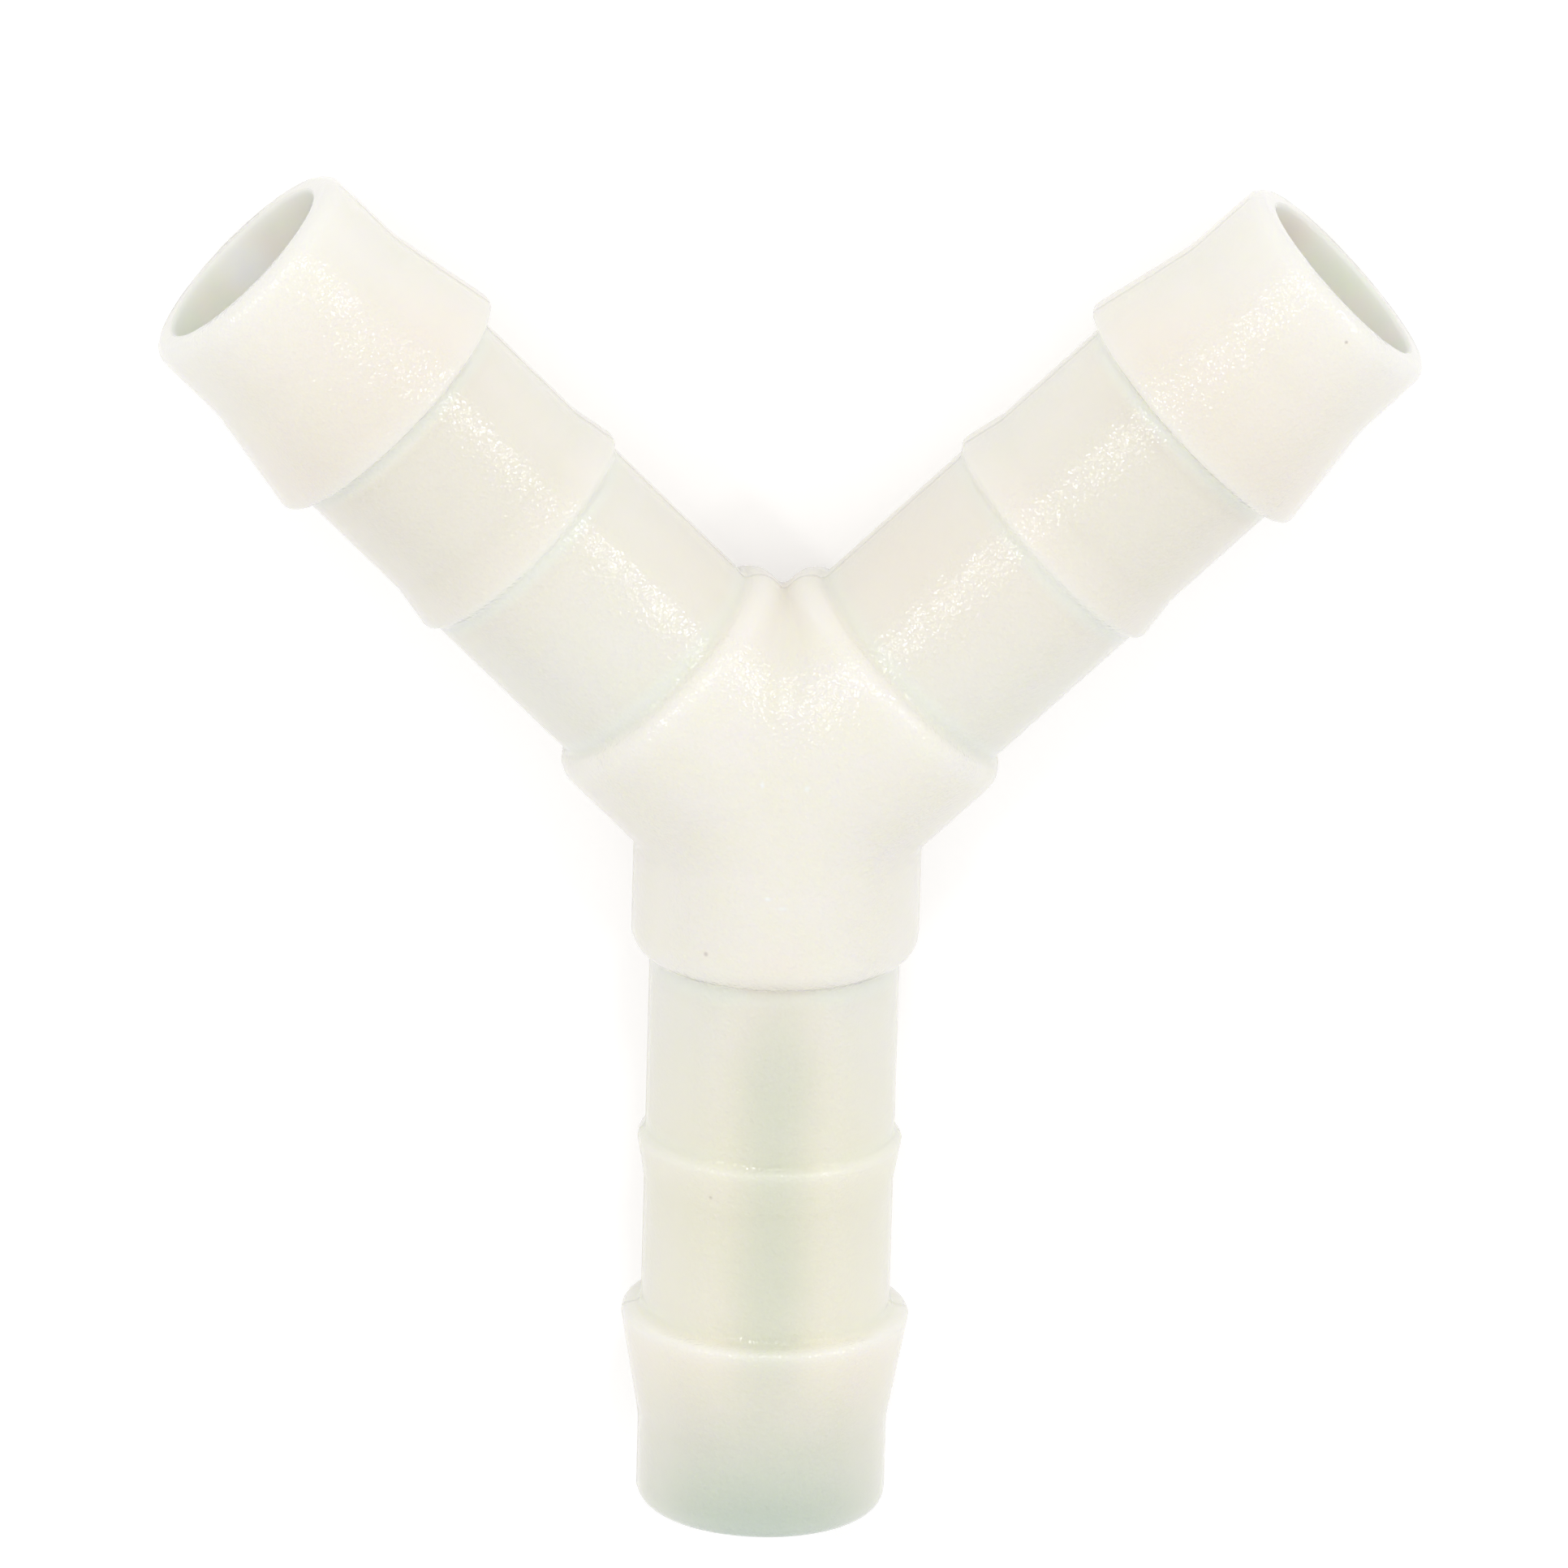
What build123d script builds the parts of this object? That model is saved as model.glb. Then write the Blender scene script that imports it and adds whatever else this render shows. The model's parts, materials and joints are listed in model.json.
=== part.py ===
"""Moulded Y fitting that joins three hoses, one solid, lying flat.

The origin is where the three bore axes cross. The single arm points along -Y, the two paired
arms point towards +Y on either side of the YZ plane, and the Z axis is square to all three bores.
Lengths along an arm are stations: distances from the origin along that arm's own axis.
"""

from build123d import *
import os

# Driving dimensions, in millimetres and degrees
pair_angle = 91.0  # between the axes of the paired arms
arm_length = 46.6  # from the crossing of the axes to each mouth
bore_diameter = 11.7
wall = 1.75  # of the plain stem
collar_length = 10.8  # station of the shoulder that stops the hose
collar_height = 1.15  # how far the collar stands out from the stem
collar_rounding = 1.4  # length of collar taken up by its rounded shoulder
nose_length = 5.5  # plain entry between the mouth and the end barb's taper
end_barb_height = 1.25
end_barb_taper = 7.1
barb_pitch = 11.3  # between the crests of the two barbs
middle_barb_height = 0.5
middle_barb_taper = 2.8
barb_back_run = 0.15  # how far a barb's steep back face leans along the arm
end_barb_land = 0.3  # blunt strip along the crest
middle_barb_land = 0.15
lip_lead = 0.65  # length of the chamfered outer edge of the mouth, along the arm
lip_drop = 0.5  # how far that chamfer comes in towards the bore
bore_edge_chamfer = 0.3  # inner edge of the mouth

# Radii and stations worked out from them
bore_radius = bore_diameter / 2
stem_radius = bore_radius + wall
collar_radius = stem_radius + collar_height
end_barb_radius = stem_radius + end_barb_height
middle_barb_radius = stem_radius + middle_barb_height
end_taper_station = arm_length - nose_length
end_crest_station = end_taper_station - end_barb_taper
middle_crest_station = end_crest_station - barb_pitch

# Each arm has a plane of its own: local x runs out along the arm and local z stays upright
single_arm = Plane.XY.rotated((0, 0, -90))
right_arm = Plane.XY.rotated((0, 0, 90 - pair_angle / 2))
left_arm = Plane.XY.rotated((0, 0, 90 + pair_angle / 2))
arms = [single_arm, right_arm, left_arm]

with BuildPart() as y_connector:
    # The outside of each arm: collar, stem, middle barb, stem, end barb and nose, turned about its axis
    for arm in arms:
        with BuildSketch(arm):
            with BuildLine():
                Polyline(
                    (0, 0),
                    (0, collar_radius),
                    (collar_length - collar_rounding, collar_radius),
                )
                TangentArc(
                    (collar_length - collar_rounding, collar_radius),
                    (collar_length, stem_radius),
                    tangent=(1, 0),
                )
                Polyline(
                    (collar_length, stem_radius),
                    (middle_crest_station - barb_back_run, stem_radius),
                    (middle_crest_station, middle_barb_radius),
                    (middle_crest_station + middle_barb_land, middle_barb_radius),
                    (middle_crest_station + middle_barb_taper, stem_radius),
                    (end_crest_station - barb_back_run, stem_radius),
                    (end_crest_station, end_barb_radius),
                    (end_crest_station + end_barb_land, end_barb_radius),
                    (end_taper_station, stem_radius),
                    (arm_length - lip_lead, stem_radius),
                    (arm_length, stem_radius - lip_drop),
                    (arm_length, 0),
                    (0, 0),
                )
            make_face()
        revolve(axis=Axis(arm.origin, arm.x_dir))

    # The three bores meet at the crossing
    for arm in arms:
        with BuildSketch(Plane(arm.origin, z_dir=arm.x_dir)):
            Circle(bore_radius)
        extrude(amount=arm_length, mode=Mode.SUBTRACT)

    # The inner edge of each mouth is the only full circle of the bore's size
    mouth_edges = y_connector.edges().filter_by(GeomType.CIRCLE).filter_by(
        lambda edge: abs(edge.radius - bore_radius) < 0.001
    )
    chamfer(mouth_edges, length=bore_edge_chamfer)

y_connector.part.label = "y_connector"

os.makedirs("parts", exist_ok=True)
export_step(y_connector.part, "parts/y_connector.step")
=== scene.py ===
"""A Y hose fitting in natural polypropylene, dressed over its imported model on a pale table.

The fitting is one moulding: three barbed arms that run into a collared hub. Each arm is drawn out
ring by ring along its own axis, mitred against its two neighbours and merged with them, and the
seams of the hub are then eased as the mould eases them. Lengths are in millimetres in the size
classes and in metres in the meshes.
"""

import json
import logging
import math
from collections.abc import Callable
from dataclasses import dataclass, field
from enum import Enum

import bmesh
import bpy
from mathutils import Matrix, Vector


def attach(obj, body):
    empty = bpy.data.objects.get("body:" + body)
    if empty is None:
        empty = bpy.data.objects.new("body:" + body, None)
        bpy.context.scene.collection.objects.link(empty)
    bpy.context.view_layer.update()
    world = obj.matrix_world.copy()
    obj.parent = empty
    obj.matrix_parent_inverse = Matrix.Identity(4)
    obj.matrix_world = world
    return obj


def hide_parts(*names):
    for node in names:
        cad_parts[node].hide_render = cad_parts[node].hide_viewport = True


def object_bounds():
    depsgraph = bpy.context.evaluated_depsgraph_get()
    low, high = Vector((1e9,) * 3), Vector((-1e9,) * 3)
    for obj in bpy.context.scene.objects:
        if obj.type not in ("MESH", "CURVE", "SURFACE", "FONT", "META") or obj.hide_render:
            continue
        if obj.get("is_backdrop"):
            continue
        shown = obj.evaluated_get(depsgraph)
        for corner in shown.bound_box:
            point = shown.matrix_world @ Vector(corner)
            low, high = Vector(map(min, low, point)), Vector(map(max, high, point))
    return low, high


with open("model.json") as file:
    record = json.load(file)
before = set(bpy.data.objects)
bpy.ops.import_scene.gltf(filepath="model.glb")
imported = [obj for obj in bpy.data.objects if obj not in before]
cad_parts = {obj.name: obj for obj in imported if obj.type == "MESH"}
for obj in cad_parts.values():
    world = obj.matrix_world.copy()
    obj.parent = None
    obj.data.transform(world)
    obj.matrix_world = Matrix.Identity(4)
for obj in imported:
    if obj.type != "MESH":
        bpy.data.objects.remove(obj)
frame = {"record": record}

MM = 0.001
Outline = list[tuple[float, float]]
NODE = "y_connector"
# Nearly all of a noise texture's values lie between these two
NOISE_LOW = 0.35
NOISE_HIGH = 0.65
LOG = logging.getLogger("y_fitting")


class Finish(Enum):
    """Which of the mould's faces a surface was formed against."""

    CAVITY = 0
    CORE_PIN = 1


def start_clean() -> None:
    """Leave edit mode and deselect everything, so that the next operator acts on its own piece."""
    if bpy.context.mode != "OBJECT":
        bpy.ops.object.mode_set(mode="OBJECT")
    bpy.ops.object.select_all(action="DESELECT")


def pick(piece: bpy.types.Object, vertex_test: Callable[[Vector], bool], mode: str) -> None:
    """Select the parts of a mesh whose vertices all pass a test, in edit mode.

    Args:
        piece: The mesh object, which is in edit mode.
        vertex_test: Takes a vertex's place in metres and says whether it is wanted.
        mode: "VERT" or "EDGE", the kind of part that is selected.
    """
    bpy.ops.mesh.select_all(action="DESELECT")
    bpy.ops.mesh.select_mode(type=mode)
    mesh = bmesh.from_edit_mesh(piece.data)
    parts = mesh.verts if mode == "VERT" else mesh.edges
    for part in parts:
        corners = [part] if mode == "VERT" else part.verts
        if all(vertex_test(corner.co) for corner in corners):
            part.select_set(True)
    mesh.select_flush_mode()
    bmesh.update_edit_mesh(piece.data)


@dataclass(frozen=True)
class ArmOutline:
    """Outline of one arm in millimetres: stations are measured from where the bore axes cross.

    The bore, the stem and the mouth come from the frame. The rest repeats the part's own sizes, with
    the barbs, the feet and the lip rounded as the mould rounds them.
    """

    bore_radius: float
    stem_radius: float
    mouth: float
    collar_end: float = 10.8
    collar_height: float = 1.15
    collar_rounding: float = 1.4
    nose_length: float = 5.5
    end_barb_height: float = 1.25
    end_barb_taper: float = 7.1
    barb_pitch: float = 11.3
    middle_barb_height: float = 0.5
    middle_barb_taper: float = 2.8
    end_back_run: float = 0.25
    middle_back_run: float = 0.45
    end_crest_radius: float = 0.4
    middle_crest_radius: float = 0.5
    taper_blend_radius: float = 6.0
    foot_radius: float = 0.55
    middle_foot_radius: float = 0.5
    lip_length: float = 0.95
    lip_drop: float = 0.7
    bore_edge_radius: float = 0.3
    root: float = -1.0
    shoulder_steps: int = 8
    corner_steps: int = 5
    bore_edge_steps: int = 4

    @property
    def collar_radius(self) -> float:
        """Outer radius of the collar."""
        return self.stem_radius + self.collar_height

    @property
    def end_crest(self) -> float:
        """Station of the end barb's crest."""
        return self.mouth - self.nose_length - self.end_barb_taper

    @property
    def middle_crest(self) -> float:
        """Station of the middle barb's crest."""
        return self.end_crest - self.barb_pitch

    def ledges(self) -> tuple[float, float, float]:
        """Stations of the feet of the steps: the collar's shoulder, the middle barb and the end barb."""
        foot = self.foot_radius
        return (self.collar_end + foot, self.middle_crest - foot, self.end_crest - foot)

    @staticmethod
    def shoulder(start: tuple[float, float], end: tuple[float, float], steps: int) -> Outline:
        """Points of the arc that leaves a cylinder along its wall and falls to a lower point.

        Args:
            start: Station and radius where the arc leaves the cylinder.
            end: Station and radius where it ends.
            steps: Number of chords.

        Returns:
            The points after the start, the end included.
        """
        run, drop = end[0] - start[0], start[1] - end[1]
        radius = (run * run + drop * drop) / (2 * drop)
        sweep = 2 * math.atan2(drop, run)
        turns = [sweep * step / steps for step in range(1, steps + 1)]
        return [(start[0] + radius * math.sin(t), start[1] - radius * (1 - math.cos(t))) for t in turns]

    @staticmethod
    def rounded(corners: Outline, radii: list[float], steps: int) -> Outline:
        """Round the inner corners of a broken line with tangent arcs.

        Args:
            corners: Stations and radii of the corners, ends included.
            radii: Rounding of each corner, 0 where it stays sharp.
            steps: Number of chords in each arc.

        Returns:
            The points of the rounded line.
        """
        line = [corners[0]]
        for before, corner, after, radius in zip(corners, corners[1:], corners[2:], radii[1:]):
            here = Vector(corner)
            back = (Vector(before) - here).normalized()
            ahead = (Vector(after) - here).normalized()
            if radius == 0:
                line.append(corner)
                continue
            half = back.angle(ahead) / 2
            centre = here + (back + ahead).normalized() * (radius / math.sin(half))
            reach = radius / math.tan(half)
            first = here + back * reach - centre
            last = here + ahead * reach - centre
            for step in range(steps + 1):
                spoke = first.slerp(last, step / steps).normalized() * radius
                line.append(tuple(centre + spoke))
        line.append(corners[-1])
        return line

    def outside(self) -> Outline:
        """Stations and radii of the outer wall, from behind the crossing to the mouth's flat face."""
        collar_flat = (self.collar_end - self.collar_rounding, self.collar_radius)
        stem = self.stem_radius
        lip_start = (self.mouth - self.lip_length, stem)
        collar_fall = self.shoulder(collar_flat, (self.collar_end, stem), self.shoulder_steps)
        # The shoulder's last two chords become one, so that the fillet at its foot has room
        corners = [
            collar_fall[-3],
            collar_fall[-1],
            (self.middle_crest - self.middle_back_run, stem),
            (self.middle_crest, stem + self.middle_barb_height),
            (self.middle_crest + self.middle_barb_taper, stem),
            (self.end_crest - self.end_back_run, stem),
            (self.end_crest, stem + self.end_barb_height),
            (self.mouth - self.nose_length, stem),
            lip_start,
        ]
        middle_radii = [self.middle_foot_radius, self.middle_crest_radius, 0]
        end_radii = [self.foot_radius, self.end_crest_radius, self.taper_blend_radius]
        radii = [0, self.foot_radius] + middle_radii + end_radii + [0]
        wall = [(self.root, self.collar_radius), collar_flat]
        wall += collar_fall[:-3] + self.rounded(corners, radii, self.corner_steps)
        wall += self.shoulder(lip_start, (self.mouth, stem - self.lip_drop), self.shoulder_steps)
        return wall

    def inside(self) -> Outline:
        """Stations and radii of the mouth's face and the bore, from the mouth back past the crossing."""
        corners = [
            (self.mouth, self.bore_radius + 2 * self.bore_edge_radius),
            (self.mouth, self.bore_radius),
            (self.root, self.bore_radius),
        ]
        return self.rounded(corners, [0, self.bore_edge_radius, 0], self.bore_edge_steps)


@dataclass
class Arm:
    """One arm of the fitting, drawn along its axis and mitred against its neighbours."""

    name: str
    axis: Vector
    outline: ArmOutline
    neighbours: list[Vector]
    facets: int = 128
    cut_tolerance: float = 1e-7

    def draw_out(self) -> bpy.types.Object:
        """Draw the arm's wall ring by ring: out along the outside, round the lip and back down the bore.

        Returns:
            The open tube, whose ends reach behind the crossing.
        """
        start_clean()
        rings = self.outline.outside() + self.outline.inside()
        station, radius = rings[0]
        bpy.ops.mesh.primitive_circle_add(
            vertices=self.facets,
            radius=radius * MM,
            location=self.axis * station * MM,
            rotation=(0, math.pi / 2, math.atan2(self.axis.y, self.axis.x)),
        )
        arm = bpy.context.active_object
        arm.name = self.name
        bpy.ops.object.transform_apply(location=True, rotation=True, scale=True)
        bpy.ops.object.mode_set(mode="EDIT")
        bpy.ops.mesh.select_all(action="SELECT")
        for next_station, next_radius in rings[1:]:
            step = self.axis * (next_station - station) * MM
            bpy.ops.mesh.extrude_region_move(TRANSFORM_OT_translate={"value": step})
            scale = next_radius / radius
            bpy.ops.transform.resize(value=(scale,) * 3, center_override=self.axis * next_station * MM)
            station, radius = next_station, next_radius
        bpy.ops.object.mode_set(mode="OBJECT")
        return arm

    def mitre(self, arm: bpy.types.Object) -> None:
        """Cut the arm's inner end along the planes halfway to each neighbouring arm."""
        bpy.context.view_layer.objects.active = arm
        bpy.ops.object.mode_set(mode="EDIT")
        for neighbour in self.neighbours:
            bpy.ops.mesh.select_all(action="SELECT")
            bpy.ops.mesh.bisect(
                plane_co=(0, 0, 0),
                plane_no=(self.axis - neighbour).normalized(),
                clear_inner=True,
                threshold=self.cut_tolerance,
            )
        bpy.ops.object.mode_set(mode="OBJECT")

    def build(self) -> bpy.types.Object:
        """Draw the arm and cut its mitres."""
        arm = self.draw_out()
        self.mitre(arm)
        return arm


@dataclass
class Moulding:
    """The whole fitting as one closed skin."""

    outline: ArmOutline
    axes: list[Vector]
    merge_distance: float = 2e-6
    seam_width: float = 2.2
    seam_at_parting: float = 0.05
    seam_growth: float = 1.4
    seam_steps: int = 6
    flash_width: float = 0.07
    flash_height: float = 0.035
    flash_steps: int = 2
    smooth_angle: float = 32.0

    def arms(self) -> list[bpy.types.Object]:
        """Build the three arms, each mitred against the other two."""
        built = []
        for number, axis in enumerate(self.axes):
            others = [other for other in self.axes if other is not axis]
            built.append(Arm(f"arm_{number}", axis, self.outline, others).build())
            LOG.info("arm %d drawn out and mitred", number)
        return built

    def join(self, arms: list[bpy.types.Object]) -> bpy.types.Object:
        """Join the mitred arms along their seams.

        Args:
            arms: The three open arms.

        Returns:
            The closed moulding.
        """
        start_clean()
        for arm in arms:
            arm.select_set(True)
        bpy.context.view_layer.objects.active = arms[0]
        bpy.ops.object.join()
        moulding = bpy.context.active_object
        moulding.name = "moulded_fitting"
        bpy.ops.object.mode_set(mode="EDIT")
        bpy.ops.mesh.select_all(action="SELECT")
        bpy.ops.mesh.remove_doubles(threshold=self.merge_distance)
        bpy.ops.mesh.normals_make_consistent(inside=False)
        bpy.ops.object.mode_set(mode="OBJECT")
        return moulding

    def on_seam(self, place: Vector) -> bool:
        """Whether a point lies on one of the outer seams, halfway between two arms."""
        if place.length < (self.outline.bore_radius + self.outline.collar_height) * MM:
            return False
        for first, second in ((0, 1), (1, 2), (2, 0)):
            across = self.axes[first] - self.axes[second]
            between = self.axes[first] + self.axes[second]
            if abs(place.dot(across)) < self.merge_distance and place.dot(between) > -self.merge_distance:
                along = place.dot(self.axes[first])
                return (place - self.axes[first] * along).length > self.outline.stem_radius * MM
        return False

    def ease_seams(self, moulding: bpy.types.Object) -> None:
        """Round the seams between the collars: sharp at the parting line, and wide on top and below."""
        mesh = bmesh.new()
        mesh.from_mesh(moulding.data)
        weight = mesh.edges.layers.float.new("bevel_weight_edge")
        for edge in mesh.edges:
            if all(self.on_seam(corner.co) for corner in edge.verts):
                height = abs(sum(corner.co.z for corner in edge.verts)) / 2
                share = (height / (self.outline.collar_radius * MM)) ** self.seam_growth
                edge[weight] = self.seam_at_parting + (1 - self.seam_at_parting) * share
        mesh.to_mesh(moulding.data)
        mesh.free()
        bpy.context.view_layer.objects.active = moulding
        easing = moulding.modifiers.new("seams", "BEVEL")
        easing.limit_method = "WEIGHT"
        easing.width = self.seam_width * MM
        easing.segments = self.seam_steps
        easing.use_clamp_overlap = False
        bpy.ops.object.modifier_apply(modifier=easing.name)

    def on_parting_line(self, place: Vector) -> bool:
        """Whether a point of the outer wall lies at mid height, where the mould's halves meet."""
        if abs(place.z) > self.merge_distance:
            return False
        axis = max(self.axes, key=place.dot)
        along = place.dot(axis)
        beside = (place - axis * along).length
        return beside > (self.outline.stem_radius - self.flash_height) * MM

    def raise_flash(self, moulding: bpy.types.Object) -> None:
        """Raise the fine ridge that the mould's parting line leaves along the outer walls."""
        bpy.context.view_layer.objects.active = moulding
        bpy.ops.object.mode_set(mode="EDIT")
        pick(moulding, self.on_parting_line, "EDGE")
        bpy.ops.mesh.bevel(offset=self.flash_width * MM, segments=self.flash_steps)
        pick(moulding, self.on_parting_line, "VERT")
        bpy.ops.transform.shrink_fatten(value=self.flash_height * MM)
        bpy.ops.object.mode_set(mode="OBJECT")

    def part_finishes(self, moulding: bpy.types.Object) -> None:
        """Give the bores' faces the finish of the core pins, with the shade painted inside the bores, and
        the rest that of the cavity.
        """
        reach = (self.outline.bore_radius + self.outline.bore_edge_radius / 2) * MM
        pinned = 0
        for face in moulding.data.polygons:
            axis = max(self.axes, key=face.center.dot)
            along = face.center.dot(axis)
            in_bore = (face.center - axis * along).length < reach
            face.material_index = Finish.CORE_PIN.value if in_bore else Finish.CAVITY.value
            pinned += in_bore
        LOG.info("%d faces in the bores", pinned)

    def build(self) -> bpy.types.Object:
        """Build the moulding: arms, seams and smooth shading."""
        moulding = self.join(self.arms())
        self.ease_seams(moulding)
        self.raise_flash(moulding)
        start_clean()
        moulding.select_set(True)
        bpy.context.view_layer.objects.active = moulding
        bpy.ops.object.shade_smooth_by_angle(angle=math.radians(self.smooth_angle))
        return moulding


def new_group(name: str, inputs: dict[str, str], outputs: dict[str, str]) -> bpy.types.NodeTree:
    """Make an empty shader node group with named sockets.

    Args:
        name: Name of the group.
        inputs: Each input socket's name and kind, "Float", "Color" or "Vector".
        outputs: Each output socket's name and kind.

    Returns:
        The group, which holds its input and output nodes.
    """
    group = bpy.data.node_groups.new(name, "ShaderNodeTree")
    for way, sockets in (("INPUT", inputs), ("OUTPUT", outputs)):
        for label, kind in sockets.items():
            group.interface.new_socket(name=label, in_out=way, socket_type=f"NodeSocket{kind}")
    group.nodes.new("NodeGroupInput").name = "in"
    group.nodes.new("NodeGroupOutput").name = "out"
    return group


def add(tree: bpy.types.NodeTree, kind: str, settings: dict | None = None, values: dict | None = None):
    """Add a shader node.

    Args:
        tree: The node tree that gets it.
        kind: The node's type after "ShaderNode".
        settings: Properties of the node.
        values: Input sockets, by name or number. A socket of another node is linked, and a value is set.

    Returns:
        The node.
    """
    node = tree.nodes.new(f"ShaderNode{kind}")
    for name, value in (settings or {}).items():
        setattr(node, name, value)
    for name, value in (values or {}).items():
        if isinstance(value, bpy.types.NodeSocket):
            tree.links.new(value, node.inputs[name])
        else:
            node.inputs[name].default_value = value
    return node


def calculate(tree: bpy.types.NodeTree, operation: str, *terms) -> bpy.types.NodeSocket:
    """Work out one step of arithmetic on numbers or sockets."""
    return add(tree, "Math", {"operation": operation}, dict(enumerate(terms))).outputs[0]


def remap(
    tree: bpy.types.NodeTree,
    value: bpy.types.NodeSocket,
    span: tuple = (0.0, 1.0),
    onto: tuple = (0.0, 1.0),
    curve: str = "LINEAR",
) -> bpy.types.NodeSocket:
    """Carry a value from one span onto another, and hold it at the ends.

    Args:
        tree: The node tree.
        value: Socket of the value.
        span: Numbers or sockets of the span that it is read in.
        onto: Numbers or sockets of the span that it is carried onto.
        curve: How it runs from end to end, "LINEAR", "SMOOTHSTEP" or "SMOOTHERSTEP".

    Returns:
        The socket of the new value.
    """
    ends = {"From Min": span[0], "From Max": span[1], "To Min": onto[0], "To Max": onto[1]}
    return add(tree, "MapRange", {"interpolation_type": curve}, {"Value": value} | ends).outputs["Result"]


def noise(tree: bpy.types.NodeTree, place, size, octaves: float) -> bpy.types.NodeSocket:
    """Give a noise whose features have a size in metres."""
    scale = calculate(tree, "DIVIDE", 1.0, size)
    return add(tree, "TexNoise", {}, {"Vector": place, "Scale": scale, "Detail": octaves}).outputs[0]


def place_group(tree: bpy.types.NodeTree, group: bpy.types.NodeTree, values: dict) -> bpy.types.Node:
    """Place a shared node group in a tree, with its own values or links."""
    return add(tree, "Group", {"node_tree": group}, values)


def blend(tree: bpy.types.NodeTree, share: bpy.types.NodeSocket, under, over) -> bpy.types.NodeSocket:
    """Mix one colour over another by a share, where each is a socket or red, green, blue and 1."""
    return add(tree, "Mix", {"data_type": "RGBA"}, {0: share, 6: under, 7: over}).outputs[2]


@dataclass(frozen=True)
class MouldGrain:
    """Texture of the mould's sparked face: fine grains over a faint waviness.

    The grain runs out towards the parting line, where it would hold the part in the mould. The group
    gives a height in metres, and how polished each place is, from 0 to 1.
    """

    name: str = "mould_grain"
    octaves: float = 1.0
    wave_share: float = 1.2
    bare_height: float = 5.0
    full_height: float = 6.8
    share_at_parting: float = 0.1

    def group(self) -> bpy.types.NodeTree:
        """Build the node group."""
        tree = new_group(
            self.name,
            {"Place": "Vector", "Grain Size": "Float", "Grain Depth": "Float", "Wave Size": "Float"},
            {"Height": "Float", "Polish": "Float"},
        )
        given, out = tree.nodes["in"].outputs, tree.nodes["out"].inputs
        fine = noise(tree, given["Place"], given["Grain Size"], self.octaves)
        slow = noise(tree, given["Place"], given["Wave Size"], self.octaves)
        swell = calculate(tree, "MULTIPLY_ADD", slow, self.wave_share, fine)
        depth = calculate(tree, "MULTIPLY", swell, given["Grain Depth"])
        level = add(tree, "SeparateXYZ", {}, {0: given["Place"]}).outputs["Z"]
        beyond = calculate(tree, "ABSOLUTE", level)
        heights = (self.bare_height * MM, self.full_height * MM)
        share = remap(tree, beyond, heights, (self.share_at_parting, 1.0), "SMOOTHSTEP")
        tree.links.new(calculate(tree, "MULTIPLY", depth, share), out["Height"])
        tree.links.new(remap(tree, slow, (NOISE_LOW, NOISE_HIGH)), out["Polish"])
        return tree


@dataclass(frozen=True)
class LedgeLight:
    """A mask of the feet of the steps round the arms, where a paler colour is painted as light, to lift the
    shade that falls at those feet.

    The group reads how far out along the nearest arm a place is.
    """

    axes: tuple[Vector, ...]
    stations: tuple[float, ...]
    name: str = "ledges"

    def group(self) -> bpy.types.NodeTree:
        """Build the node group."""
        tree = new_group(self.name, {"Place": "Vector", "Half Width": "Float"}, {"Mask": "Float"})
        given, out = tree.nodes["in"].outputs, tree.nodes["out"].inputs
        station = None
        for axis in self.axes:
            turned = {0: given["Place"], 1: axis}
            along = add(tree, "VectorMath", {"operation": "DOT_PRODUCT"}, turned).outputs["Value"]
            station = along if station is None else calculate(tree, "MAXIMUM", station, along)
        mask = None
        for ledge in self.stations:
            away = calculate(tree, "ABSOLUTE", calculate(tree, "SUBTRACT", station, ledge * MM))
            pulse = remap(tree, away, (0.0, given["Half Width"]), (1.0, 0.0), "SMOOTHSTEP")
            mask = pulse if mask is None else calculate(tree, "MAXIMUM", mask, pulse)
        tree.links.new(mask, out["Mask"])
        return tree


@dataclass(frozen=True)
class SoftPatch:
    """A mask that is full at a centre and fades out at a reach along X, Y and Z, in metres."""

    name: str = "soft_patch"

    def group(self) -> bpy.types.NodeTree:
        """Build the node group."""
        tree = new_group(
            self.name,
            {"Place": "Vector", "Centre": "Vector", "Reach": "Vector", "Strength": "Float"},
            {"Mask": "Float"},
        )
        given, out = tree.nodes["in"].outputs, tree.nodes["out"].inputs
        offset = add(tree, "VectorMath", {"operation": "SUBTRACT"}, {0: given["Place"], 1: given["Centre"]})
        share = add(tree, "VectorMath", {"operation": "DIVIDE"}, {0: offset.outputs[0], 1: given["Reach"]})
        away = add(tree, "VectorMath", {"operation": "LENGTH"}, {0: share.outputs[0]}).outputs["Value"]
        tree.links.new(remap(tree, away, onto=(given["Strength"], 0.0), curve="SMOOTHERSTEP"), out["Mask"])
        return tree


@dataclass(frozen=True)
class MilkyClouds:
    """Slow, faint clouding of a natural resin between two near tones."""

    name: str = "milky_clouds"
    octaves: float = 3.0

    def group(self) -> bpy.types.NodeTree:
        """Build the node group."""
        tree = new_group(
            self.name,
            {"Place": "Vector", "Tone": "Color", "Other Tone": "Color", "Cloud Size": "Float"},
            {"Color": "Color"},
        )
        given, out = tree.nodes["in"].outputs, tree.nodes["out"].inputs
        cloud = noise(tree, given["Place"], given["Cloud Size"], self.octaves)
        share = remap(tree, cloud, (NOISE_LOW, NOISE_HIGH))
        tree.links.new(blend(tree, share, given["Tone"], given["Other Tone"]), out["Color"])
        return tree


@dataclass(frozen=True)
class Patch:
    """A tinted place on the moulding: centre and reach in millimetres, strength from 0 to 1."""

    centre: tuple[float, float, float]
    reach: tuple[float, float, float]
    tint: tuple[float, float, float]
    strength: float


@dataclass(frozen=True)
class Groups:
    """The node groups that the finishes share."""

    grain: bpy.types.NodeTree
    patch: bpy.types.NodeTree
    clouds: bpy.types.NodeTree
    ledges: bpy.types.NodeTree


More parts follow.
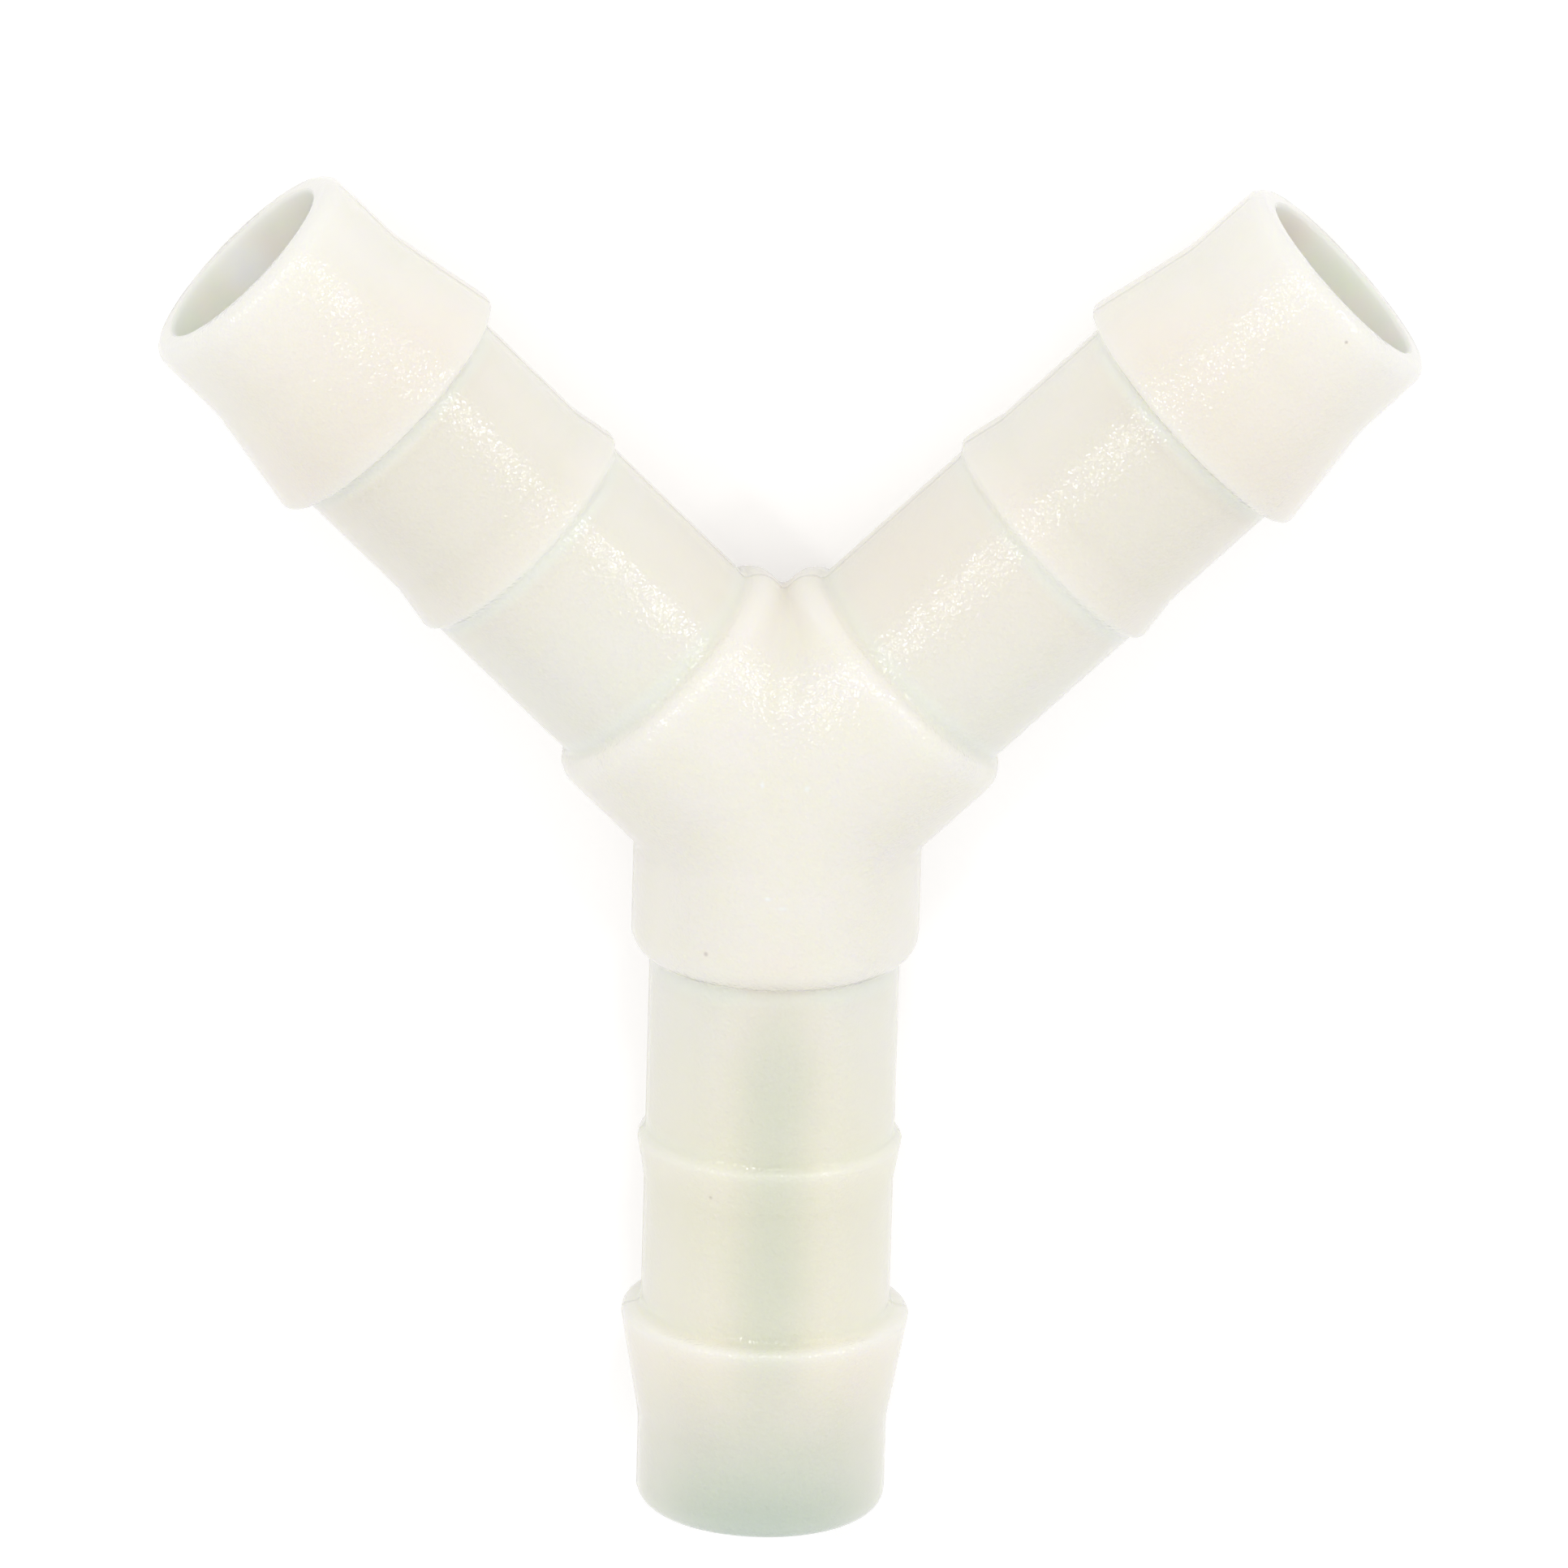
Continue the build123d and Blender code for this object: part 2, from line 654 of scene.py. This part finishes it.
@dataclass(frozen=True)
class NaturalPolypropylene:
    """Uncoloured polypropylene, milky and a little warm, as one face of the mould leaves it, with light and
    shade painted on in places.
    """

    name: str
    tone: tuple[float, float, float]
    other_tone: tuple[float, float, float]
    under_patches: tuple[Patch, ...] = ()
    patches: tuple[Patch, ...] = ()
    dull: float = 0.19
    polished: float = 0.15
    translucency: float = 1.0
    specular: float = 0.75
    scatter: tuple[float, float, float] = (0.85, 0.8, 1.1)
    scatter_depth: float = 3.0
    # Painted light at the feet of the steps: its tone, half width and strength
    ledge_light_tone: tuple[float, float, float] = (1.0, 0.95, 0.87)
    ledge_light_half_width: float = 1.0
    ledge_light_strength: float = 0.85
    cloud_size: float = 2.5
    grain_size: float = 0.3
    grain_depth: float = 0.095
    wave_size: float = 2.2

    @staticmethod
    def tinted(
        tree: bpy.types.NodeTree,
        groups: Groups,
        patches: tuple[Patch, ...],
        place: bpy.types.NodeSocket,
        colour: bpy.types.NodeSocket,
    ) -> bpy.types.NodeSocket:
        """Lay tinted patches over a colour.

        Args:
            tree: The material's node tree.
            groups: The shared node groups.
            patches: The patches, the lowest first.
            place: Socket of the place on the object.
            colour: Socket of the colour under the patches.

        Returns:
            The socket of the tinted colour.
        """
        for patch in patches:
            where = {"Place": place, "Centre": Vector(patch.centre) * MM, "Reach": Vector(patch.reach) * MM}
            mask = place_group(tree, groups.patch, where | {"Strength": patch.strength}).outputs["Mask"]
            colour = blend(tree, mask, colour, (*patch.tint, 1))
        return colour

    def material(self, groups: Groups) -> bpy.types.Material:
        """Make the material.

        Args:
            groups: The shared node groups.

        Returns:
            The node material.
        """
        material = bpy.data.materials.new(self.name)
        material.use_nodes = True
        tree = material.node_tree
        shader = tree.nodes["Principled BSDF"]
        place = add(tree, "TexCoord").outputs["Object"]
        clouds = {
            "Place": place,
            "Tone": (*self.tone, 1),
            "Other Tone": (*self.other_tone, 1),
            "Cloud Size": self.cloud_size * MM,
        }
        colour = place_group(tree, groups.clouds, clouds).outputs["Color"]
        colour = self.tinted(tree, groups, self.under_patches, place, colour)
        # Painted light: a paler tone over the feet of the steps lifts the shade that falls there
        if self.ledge_light_strength > 0:
            width = {"Place": place, "Half Width": self.ledge_light_half_width * MM}
            ledge = place_group(tree, groups.ledges, width).outputs["Mask"]
            share = calculate(tree, "MULTIPLY", ledge, self.ledge_light_strength)
            colour = blend(tree, share, colour, (*self.ledge_light_tone, 1))
        colour = self.tinted(tree, groups, self.patches, place, colour)
        tree.links.new(colour, shader.inputs["Base Color"])
        sizes = {
            "Grain Size": self.grain_size,
            "Grain Depth": self.grain_depth,
            "Wave Size": self.wave_size,
        }
        texture = {name: size * MM for name, size in sizes.items()}
        grain = place_group(tree, groups.grain, {"Place": place} | texture)
        roughness = remap(tree, grain.outputs["Polish"], onto=(self.dull, self.polished))
        tree.links.new(roughness, shader.inputs["Roughness"])
        bump = add(tree, "Bump", {}, {"Height": grain.outputs["Height"], "Distance": 1.0})
        tree.links.new(bump.outputs["Normal"], shader.inputs["Normal"])
        shader.inputs["Specular IOR Level"].default_value = self.specular
        shader.inputs["Subsurface Weight"].default_value = self.translucency
        shader.inputs["Subsurface Radius"].default_value = self.scatter
        shader.inputs["Subsurface Scale"].default_value = self.scatter_depth * MM
        return material


# Tints as red, green and blue: of light and shade painted on the plastic, and of the specks and flecks in
# it
# Painted warm light, lifting the shade beside the crotch
WARM_LIGHT_TINT = (1.0, 0.835, 0.745)
# A painted reflection: a pale streak in a bore
BORE_REFLECTION_TINT = (1.0, 0.93, 0.90)
# Painted shade, greenish, on the single arm's top and nose
OLIVE_SHADE = (0.60, 0.66, 0.55)
# Painted shade, greyish, over the outer paired stems
STEM_SHADE_TONE = (0.84, 0.80, 0.71)
BROWNISH = (0.84, 0.80, 0.73)
# Painted shade, yellowish, over the single arm
YELLOW_SHADE = (0.90, 0.86, 0.67)
SHADED = (0.48, 0.56, 0.48)
GREY_SPECK = (0.35, 0.33, 0.30)
BRIGHT_FLECK = (1.0, 0.99, 0.96)

# Painted shade: the outer parts of the paired stems are darkened to a little greyer than the rest of the
# skin
PAINTED_STEM_SHADE = (
    Patch(centre=(-22.5, 22.0, 8.0), reach=(19.0, 19.0, 10.0), tint=STEM_SHADE_TONE, strength=0.85),
    Patch(centre=(22.5, 22.0, 8.0), reach=(19.0, 19.0, 10.0), tint=STEM_SHADE_TONE, strength=0.85),
)
# A painted reflection, a pale streak, in the left bore, and a browner end of the right one
BORE_PATCHES = (
    Patch(centre=(-33.0, 30.6, -5.7), reach=(2.8, 2.8, 4.0), tint=BORE_REFLECTION_TINT, strength=1.0),
    Patch(centre=(29.7, 34.1, -4.7), reach=(3.5, 3.5, 4.0), tint=BROWNISH, strength=0.9),
)
# Painted warm light beside the crotch that lifts the shade between the arms; painted shade over the single
# arm, yellower, with a darker greenish strip along its top and a darker, greener nose and mouth; then
# specks and flecks
CAVITY_PATCHES = (
    # Painted warm light beside the crotch
    Patch(centre=(9.0, 14.5, 4.0), reach=(11.0, 11.0, 9.0), tint=WARM_LIGHT_TINT, strength=0.95),
    Patch(centre=(-6.5, 14.0, 4.0), reach=(9.0, 9.0, 8.0), tint=WARM_LIGHT_TINT, strength=0.5),
    # Painted shade over the single arm, darker and yellower
    Patch(centre=(0.0, -26.0, 4.0), reach=(16.0, 22.0, 14.0), tint=YELLOW_SHADE, strength=0.75),
    # Painted shade: a darker greenish strip along the single arm's top, then a darker nose
    Patch(centre=(0.0, -18.0, 8.5), reach=(5.0, 13.0, 7.0), tint=OLIVE_SHADE, strength=0.55),
    Patch(centre=(0.0, -30.0, 8.5), reach=(5.0, 13.0, 7.0), tint=OLIVE_SHADE, strength=0.55),
    Patch(centre=(0.0, -48.0, 5.0), reach=(18.0, 19.0, 18.0), tint=OLIVE_SHADE, strength=0.95),
    Patch(centre=(0.0, -49.0, 3.0), reach=(9.0, 10.0, 12.0), tint=SHADED, strength=0.9),
    Patch(centre=(-4.5, -8.5, 7.5), reach=(0.25, 0.25, 0.25), tint=GREY_SPECK, strength=0.4),
    Patch(centre=(-3.8, -24.5, 6.8), reach=(0.2, 0.2, 0.2), tint=GREY_SPECK, strength=0.4),
    Patch(centre=(33.0, 31.0, 7.6), reach=(0.2, 0.2, 0.2), tint=GREY_SPECK, strength=0.7),
    Patch(centre=(24.7, 23.4, 8.8), reach=(0.2, 0.2, 0.2), tint=GREY_SPECK, strength=0.5),
    Patch(centre=(-1.4, 2.8, 8.7), reach=(0.2, 0.4, 0.3), tint=BRIGHT_FLECK, strength=0.7),
    Patch(centre=(1.3, 2.6, 8.7), reach=(0.3, 0.3, 0.3), tint=BRIGHT_FLECK, strength=0.6),
    Patch(centre=(-0.9, -4.5, 8.7), reach=(0.3, 0.25, 0.3), tint=BRIGHT_FLECK, strength=0.7),
    Patch(centre=(0.0, -5.1, 8.7), reach=(0.5, 0.2, 0.3), tint=BRIGHT_FLECK, strength=0.5),
)

FINISHES = {
    Finish.CAVITY: NaturalPolypropylene(
        name="polypropylene_cavity",
        tone=(0.955, 0.878, 0.815),
        other_tone=(0.94, 0.882, 0.785),
        under_patches=PAINTED_STEM_SHADE,
        patches=CAVITY_PATCHES,
    ),
    Finish.CORE_PIN: NaturalPolypropylene(
        name="polypropylene_bore",
        # The bore's tone is darker and greener than the outside: painted shade inside the bores
        tone=(0.865, 0.89, 0.785),
        other_tone=(0.90, 0.875, 0.81),
        patches=BORE_PATCHES,
        dull=0.55,
        polished=0.45,
        specular=0.15,
        scatter_depth=1.5,
        cloud_size=3.0,
        grain_depth=0.004,
        ledge_light_strength=0.0,
    ),
}


@dataclass(frozen=True)
class SoftLamp:
    """A soft square lamp: the way to it, its power in watts, its distance and side in metres."""

    name: str
    way: tuple[float, float, float]
    power: float
    distance: float = 0.6
    side: float = 0.06


LAMPS = (
    SoftLamp("right_lamp", way=(0.75, 0.39, 0.54), power=0.34),
    SoftLamp("left_lamp", way=(-0.57, 0.3, 0.77), power=0.34),
    SoftLamp("back_lamp", way=(0.04, 0.65, 0.75), power=0.34),
)


@dataclass
class Studio:
    """Pale table, plain soft light and the camera."""

    lowest: float
    world_level: float = 0.80
    table_side: float = 8.0
    table_grey: float = 0.78
    table_roughness: float = 0.9
    table_lift: float = 0.39
    camera_distance: float = 1.206
    sensor_width: float = 36.0
    lens: float = 455.2
    clip_end: float = 20.0
    camera_way: Vector = field(default_factory=lambda: Vector((-0.0422, 0.3274, 0.9439)))
    camera_right: Vector = field(default_factory=lambda: Vector((0.9990, 0.0260, 0.0356)))
    aim_right: float = 0.283
    aim_down: float = 0.123

    def seen_directly(self, tree: bpy.types.NodeTree) -> bpy.types.NodeSocket:
        """Give 1 where the camera, a reflection or clear plastic shows the background, 0 for its light."""
        path = add(tree, "LightPath").outputs
        shown = calculate(tree, "MAXIMUM", path["Is Camera Ray"], path["Is Glossy Ray"])
        return calculate(tree, "MAXIMUM", shown, path["Is Transmission Ray"])

    def table(self) -> None:
        """Lay the table under the fitting."""
        start_clean()
        bpy.ops.mesh.primitive_plane_add(size=self.table_side, location=(0, 0, self.lowest))
        table = bpy.context.active_object
        table.name = "table"
        bpy.ops.object.transform_apply(location=True, rotation=False, scale=False)
        material = bpy.data.materials.new("white_table")
        material.use_nodes = True
        tree = material.node_tree
        shader = tree.nodes["Principled BSDF"]
        shader.inputs["Base Color"].default_value = (*[self.table_grey] * 3, 1)
        shader.inputs["Roughness"].default_value = self.table_roughness
        shader.inputs["Specular IOR Level"].default_value = 0.0
        shader.inputs["Emission Color"].default_value = (1, 1, 1, 1)
        lift = calculate(tree, "MULTIPLY", self.seen_directly(tree), self.table_lift)
        tree.links.new(lift, shader.inputs["Emission Strength"])
        table.data.materials.append(material)
        table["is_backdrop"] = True

    def world(self) -> None:
        """Surround the fitting with even pale light, and show white behind the table."""
        world = bpy.data.worlds.new("pale_room")
        bpy.context.scene.world = world
        world.use_nodes = True
        tree = world.node_tree
        background = tree.nodes["Background"]
        background.inputs["Color"].default_value = (1, 1, 1, 1)
        level = remap(tree, self.seen_directly(tree), onto=(self.world_level, 1.0))
        tree.links.new(level, background.inputs["Strength"])

    def soft_lamp(self, lamp: SoftLamp) -> None:
        """Hang a soft square lamp that faces the fitting."""
        start_clean()
        place = Vector(lamp.way).normalized() * lamp.distance
        bpy.ops.object.light_add(type="AREA", location=place)
        light = bpy.context.active_object
        light.name = lamp.name
        light.rotation_euler = (-place).to_track_quat("-Z", "Y").to_euler()
        light.data.shape = "SQUARE"
        light.data.size = lamp.side
        light.data.energy = lamp.power

    def camera(self) -> None:
        """Set the camera above the fitting, a little towards its paired arms."""
        way = self.camera_way.normalized()
        up = way.cross(self.camera_right).normalized()
        right = up.cross(way)
        start_clean()
        bpy.ops.object.camera_add()
        camera = bpy.context.active_object
        camera.name = "camera"
        camera.location = way * self.camera_distance + right * self.aim_right * MM - up * self.aim_down * MM
        turn = camera.matrix_world.to_3x3()
        turn.col[0], turn.col[1], turn.col[2] = right, up, way
        camera.rotation_euler = turn.to_euler()
        camera.data.sensor_width = self.sensor_width
        camera.data.lens = self.lens
        camera.data.clip_end = self.clip_end
        bpy.context.scene.camera = camera

    def build(self) -> None:
        """Build the table, the light and the camera."""
        self.table()
        self.world()
        for lamp in LAMPS:
            self.soft_lamp(lamp)
        self.camera()
        bpy.context.scene.view_settings.view_transform = "Standard"


def outline_from_frame(record: dict) -> ArmOutline:
    """Read the bore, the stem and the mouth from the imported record.

    Args:
        record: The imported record.

    Returns:
        The outline that the arms share.
    """
    mounts = {mount["name"]: mount for mount in record["mounts"]}
    bore = mounts["single_bore"]["dims"]
    nose = mounts["single_nose"]["dims"]
    edge = ArmOutline.bore_edge_radius
    return ArmOutline(bore_radius=bore["r_mm"], stem_radius=nose["r_mm"], mouth=bore["length_mm"] + edge)


def main() -> None:
    """Build the fitting and its studio."""
    logging.basicConfig(level=logging.INFO, format="%(message)s")
    packed = [list(corner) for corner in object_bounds()]
    record = frame["record"]
    axes = [Vector(mount["axis"]).normalized() for mount in record["mounts"] if mount["kind"] == "bore"]
    outline = outline_from_frame(record)
    moulding = Moulding(outline, axes)
    fitting = moulding.build()
    ledges = LedgeLight(tuple(axes), outline.ledges()).group()
    groups = Groups(MouldGrain().group(), SoftPatch().group(), MilkyClouds().group(), ledges)
    fitting.data.materials.clear()
    for finish in Finish:
        fitting.data.materials.append(FINISHES[finish].material(groups))
    moulding.part_finishes(fitting)
    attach(fitting, "root")
    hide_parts(NODE)
    LOG.info("%s: %d faces", fitting.name, len(fitting.data.polygons))
    Studio(lowest=packed[0][2]).build()


if __name__ == "__main__":
    main()
